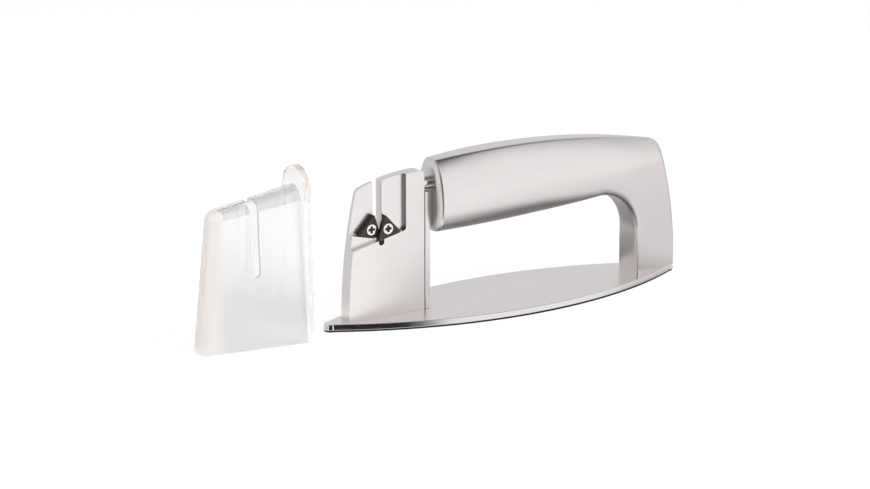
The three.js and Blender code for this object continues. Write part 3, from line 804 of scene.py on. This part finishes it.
number = {"data_type": "FLOAT"}

dropAll()
bpy.ops.mesh.primitive_plane_add(size=studio["floor"])
floor = bpy.context.object
floor.name = "floor"
paper, paperTree, paperShader = startMaterial("whitePaper")
paperShader.inputs["Base Color"].default_value = linear(studio["floorTint"])
paperShader.inputs["Roughness"].default_value = studio["floorRoughness"]
paperShader.inputs["Specular IOR Level"].default_value = studio["floorSpecular"]
ray = addNode(paperTree, "ShaderNodeLightPath")
through = ray.outputs["Is Transmission Ray"]
mirrored = addNode(paperTree, "ShaderNodeMath", {"operation": "GREATER_THAN"},
                   {0: ray.outputs["Is Glossy Ray"], 1: through})
# In the metal the paper carries a painted shadow: it is dim close to the object and behind it. It is also
# dark towards the front left
spot = addNode(paperTree, "ShaderNodeTexCoord")
away = addNode(paperTree, "ShaderNodeVectorMath", {"operation": "DISTANCE"},
               {0: spot.outputs["Object"], 1: studio["shade"]})
pool = addNode(paperTree, "ShaderNodeMapRange", None, {"Value": away.outputs["Value"], **ranges["pool"]})
across = addNode(paperTree, "ShaderNodeSeparateXYZ", None, {0: spot.outputs["Object"]})
behind = addNode(paperTree, "ShaderNodeMapRange", smooth, {"Value": across.outputs["Y"], **ranges["behind"]})
byLeg = addNode(paperTree, "ShaderNodeMapRange", smooth, {"Value": across.outputs["X"], **ranges["byLeg"]})
dim = addNode(paperTree, "ShaderNodeMath", times, {0: behind.outputs[0], 1: byLeg.outputs[0]})
undimmed = addNode(paperTree, "ShaderNodeMath", {"operation": "SUBTRACT"}, {0: 1.0, 1: dim.outputs[0]})
nearPool = addNode(paperTree, "ShaderNodeMath", times, {0: pool.outputs[0], 1: undimmed.outputs[0]})
farOff = addNode(paperTree, "ShaderNodeMapRange", smooth, {"Value": across.outputs["Y"], **ranges["farOff"]})
fallOff = addNode(paperTree, "ShaderNodeMapRange", smooth,
                  {"Value": across.outputs["X"], **ranges["fallOff"], "To Max": farOff.outputs[0]})
lying = addNode(paperTree, "ShaderNodeMath", times, {0: nearPool.outputs[0], 1: fallOff.outputs[0]})
fromPlate = addNode(paperTree, "ShaderNodeVectorMath", {"operation": "SUBTRACT"},
                    {0: spot.outputs["Object"], 1: studio["darkFrom"]})
bearing = addNode(paperTree, "ShaderNodeVectorMath", {"operation": "NORMALIZE"}, {0: fromPlate.outputs[0]})
toRoom = addNode(paperTree, "ShaderNodeVectorMath", along, {0: bearing.outputs[0], 1: studio["dark"]})
roomSide = addNode(paperTree, "ShaderNodeMapRange", smooth,
                   {"Value": toRoom.outputs["Value"], **ranges["roomSide"]})
inMetal = addNode(paperTree, "ShaderNodeMath", times, {0: lying.outputs[0], 1: roomSide.outputs[0]})
level = addNode(paperTree, "ShaderNodeMix", number,
                {"Factor": mirrored.outputs[0], "A": studio["paperLevel"], "B": inMetal.outputs[0]})
# The camera sees it almost white, with a trace of the shadow
cameraShare = addNode(paperTree, "ShaderNodeMath", times,
                      {0: ray.outputs["Is Camera Ray"], 1: studio["cameraShare"]})
throughShare = addNode(paperTree, "ShaderNodeMath", plusTimes,
                       {0: through, 1: studio["throughShare"], 2: cameraShare.outputs[0]})
share = addNode(paperTree, "ShaderNodeMath", plusTimes,
                {0: mirrored.outputs[0], 1: studio["mirroredShare"], 2: throughShare.outputs[0]})
glow = addNode(paperTree, "ShaderNodeEmission", None, {"Color": (1, 1, 1, 1), "Strength": level.outputs[0]})
blendShader = addNode(paperTree, "ShaderNodeMixShader", None,
                      {0: share.outputs[0], 1: paperShader.outputs[0], 2: glow.outputs[0]})
paperTree.links.new(blendShader.outputs[0], paperTree.nodes["Material Output"].inputs["Surface"])
floor.data.materials.append(paper)

# The room in the metal: bright low down, darker overhead and at the front left
world = bpy.data.worlds.new("studio")
scene.world = world
world.use_nodes = True
sky = world.node_tree
worldRay = addNode(sky, "ShaderNodeLightPath")
worldThrough = worldRay.outputs["Is Transmission Ray"]
direction = addNode(sky, "ShaderNodeTexCoord").outputs["Generated"]
height = addNode(sky, "ShaderNodeSeparateXYZ", None, {0: direction}).outputs["Z"]
dome = addNode(sky, "ShaderNodeMapRange", smooth, {"Value": height, **ranges["dome"]})
toKey = addNode(sky, "ShaderNodeVectorMath", along, {0: direction, 1: studio["bright"]})
keySide = addNode(sky, "ShaderNodeMapRange", smooth, {"Value": toKey.outputs["Value"], **ranges["keySide"]})
toDark = addNode(sky, "ShaderNodeVectorMath", along, {0: direction, 1: studio["dark"]})
darkSide = addNode(sky, "ShaderNodeMapRange", smooth,
                   {"Value": toDark.outputs["Value"], **ranges["darkSide"]})
lit = addNode(sky, "ShaderNodeMath", times, {0: dome.outputs[0], 1: keySide.outputs[0]})
litRoom = addNode(sky, "ShaderNodeMath", times, {0: lit.outputs[0], 1: darkSide.outputs[0]})
throughPlastic = addNode(sky, "ShaderNodeMapRange", smooth, {"Value": height, **ranges["throughPlastic"]})
glossOrAmbient = addNode(sky, "ShaderNodeMix", number,
                         {"Factor": worldRay.outputs["Is Glossy Ray"], "A": studio["ambient"],
                          "B": litRoom.outputs[0]})
unlessThrough = addNode(sky, "ShaderNodeMix", number,
                        {"Factor": worldThrough, "A": glossOrAmbient.outputs[0],
                         "B": throughPlastic.outputs[0]})
strength = addNode(sky, "ShaderNodeMix", number,
                   {"Factor": worldRay.outputs["Is Camera Ray"], "A": unlessThrough.outputs[0], "B": 1.0})
sky.links.new(strength.outputs[0], sky.nodes["Background"].inputs["Strength"])
sky.nodes["Background"].inputs["Color"].default_value = (1, 1, 1, 1)


# Softboxes, turned to face the object; the metal mirrors the room and not the lamps
softboxes = [
    {"name": "keySoftbox", "place": (0.55, -0.75, 0.9), "size": (0.6, 0.5), "power": 15},
    {"name": "fillSoftbox", "place": (-0.95, 0.4, 0.45), "size": (0.8, 0.6), "power": 6},
    {"name": "overheadSoftbox", "place": (-0.1, 0.5, 1.0), "size": (0.8, 0.5), "power": 1},
]
softboxAim = Vector((-0.03, 0, 0.04))
for box in softboxes:
    dropAll()
    bpy.ops.object.light_add(type="AREA", location=box["place"])
    lamp = bpy.context.object
    lamp.name = box["name"]
    lamp.data.shape = "RECTANGLE"
    lamp.data.size, lamp.data.size_y = box["size"]
    lamp.data.energy = box["power"]
    lamp.rotation_euler = (softboxAim - Vector(box["place"])).to_track_quat("-Z", "Y").to_euler()
    lamp.visible_glossy = False

view = {"turn": 31.71, "rise": 15.47, "distance": 1043.65, "target": (-56.49, -26.8, 41.6), "focal": 2300,
        "frameWidth": 870, "sensor": 36}
turn = math.radians(view["turn"])
rise = math.radians(view["rise"])
towards = Vector((-math.sin(turn) * math.cos(rise), -math.cos(turn) * math.cos(rise), math.sin(rise)))
dropAll()
bpy.ops.object.camera_add(location=(Vector(view["target"]) + towards * view["distance"]) * mm)
camera = bpy.context.object
camera.name = "photoCamera"
camera.rotation_euler = (-towards).to_track_quat("-Z", "Y").to_euler()
camera.data.sensor_width = view["sensor"]
camera.data.lens = view["sensor"] * view["focal"] / view["frameWidth"]
camera.data.clip_start = 0.01
camera.data.clip_end = 20
scene.camera = camera
print("studio ready")

dropAll()
